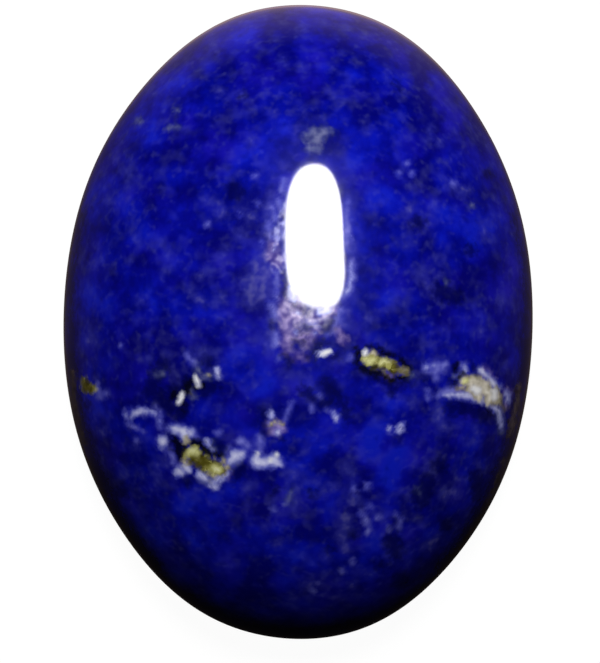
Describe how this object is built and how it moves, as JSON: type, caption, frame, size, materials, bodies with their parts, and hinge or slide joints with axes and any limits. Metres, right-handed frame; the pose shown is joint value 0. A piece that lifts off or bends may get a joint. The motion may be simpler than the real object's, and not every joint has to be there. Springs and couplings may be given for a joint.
{
  "type": "polished lapis lazuli oval cabochon",
  "caption": "Oval polished lapis lazuli cabochon: deep blue high dome with golden pyrite grains and pale calcite streaks, thin girdle, chamfered flat back.",
  "frame": {"origin": "centre of the oval, on the flat back", "axes": "+Z out of the back through the top of the dome, Y along the oval's long axis, X along its short axis"},
  "size_m": [0.0222, 0.03, 0.009],
  "materials": {
    "polished_lapis": "polished deep blue lapis lazuli, mottled, with pale calcite flecks and golden pyrite grains"
  },
  "bodies": {
    "root": {"cabochon": "polished_lapis"}
  },
  "joints": []
}
